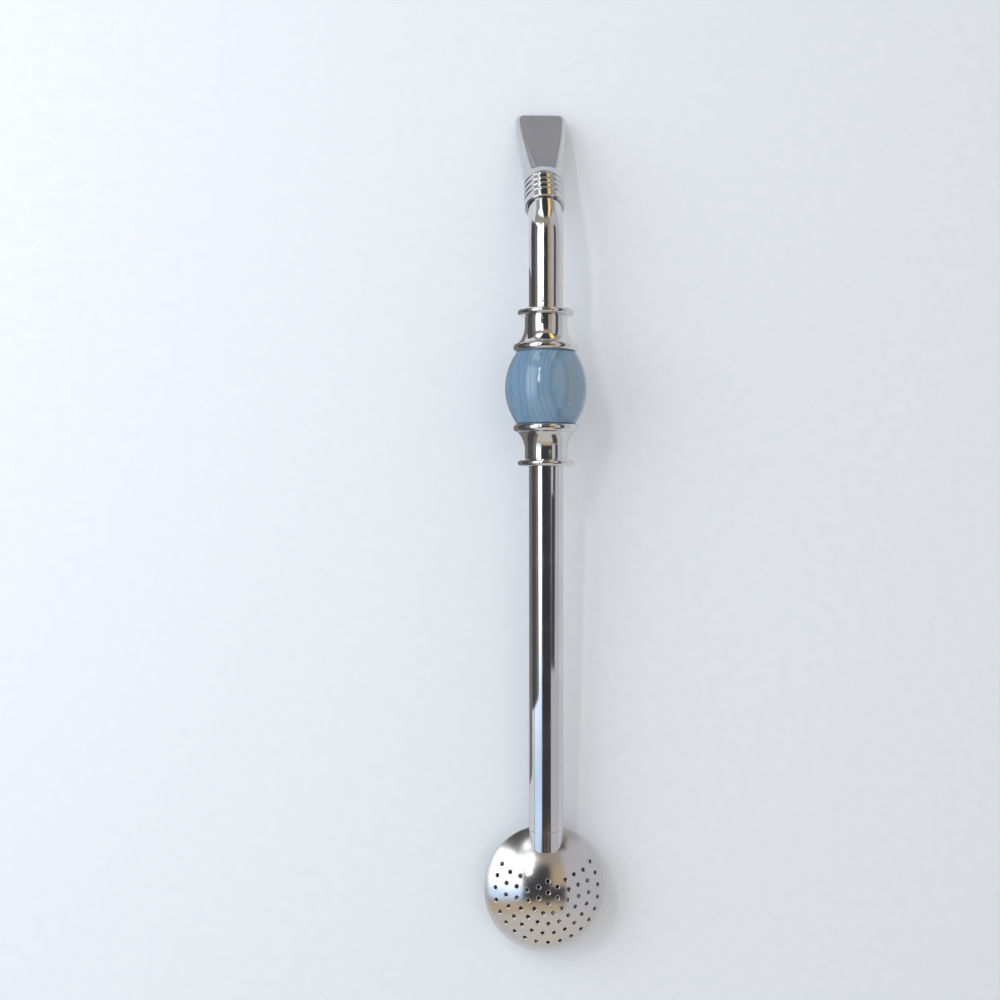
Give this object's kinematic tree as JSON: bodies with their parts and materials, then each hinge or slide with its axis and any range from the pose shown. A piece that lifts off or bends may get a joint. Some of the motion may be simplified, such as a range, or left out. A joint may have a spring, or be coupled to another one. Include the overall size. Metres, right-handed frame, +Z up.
{
  "type": "bombilla drinking straw",
  "caption": "Bent metal straw for mate with a flattened mouthpiece, a stone bead between turned collars and a round perforated strainer.",
  "frame": {"origin": "middle of the footprint, on the surface the straw lies on", "axes": "+Y along the straw towards the mouthpiece, +X across it, +Z up, the side the strainer's face looks to"},
  "size_m": [0.0288, 0.1988, 0.0248],
  "materials": {
    "mouthpiece_metal": "polished",
    "tube_metal": "polished",
    "collar_metal": "polished",
    "strainer_metal": "polished",
    "bead_stone": "polished"
  },
  "bodies": {
    "root": {"mouthpiece": "mouthpiece_metal", "stem": "tube_metal", "ring": "tube_metal", "neck": "tube_metal", "collar_upper": "collar_metal", "collar_lower": "collar_metal", "bead": "bead_stone", "strainer_face": "strainer_metal", "strainer_back": "strainer_metal"}
  },
  "joints": []
}
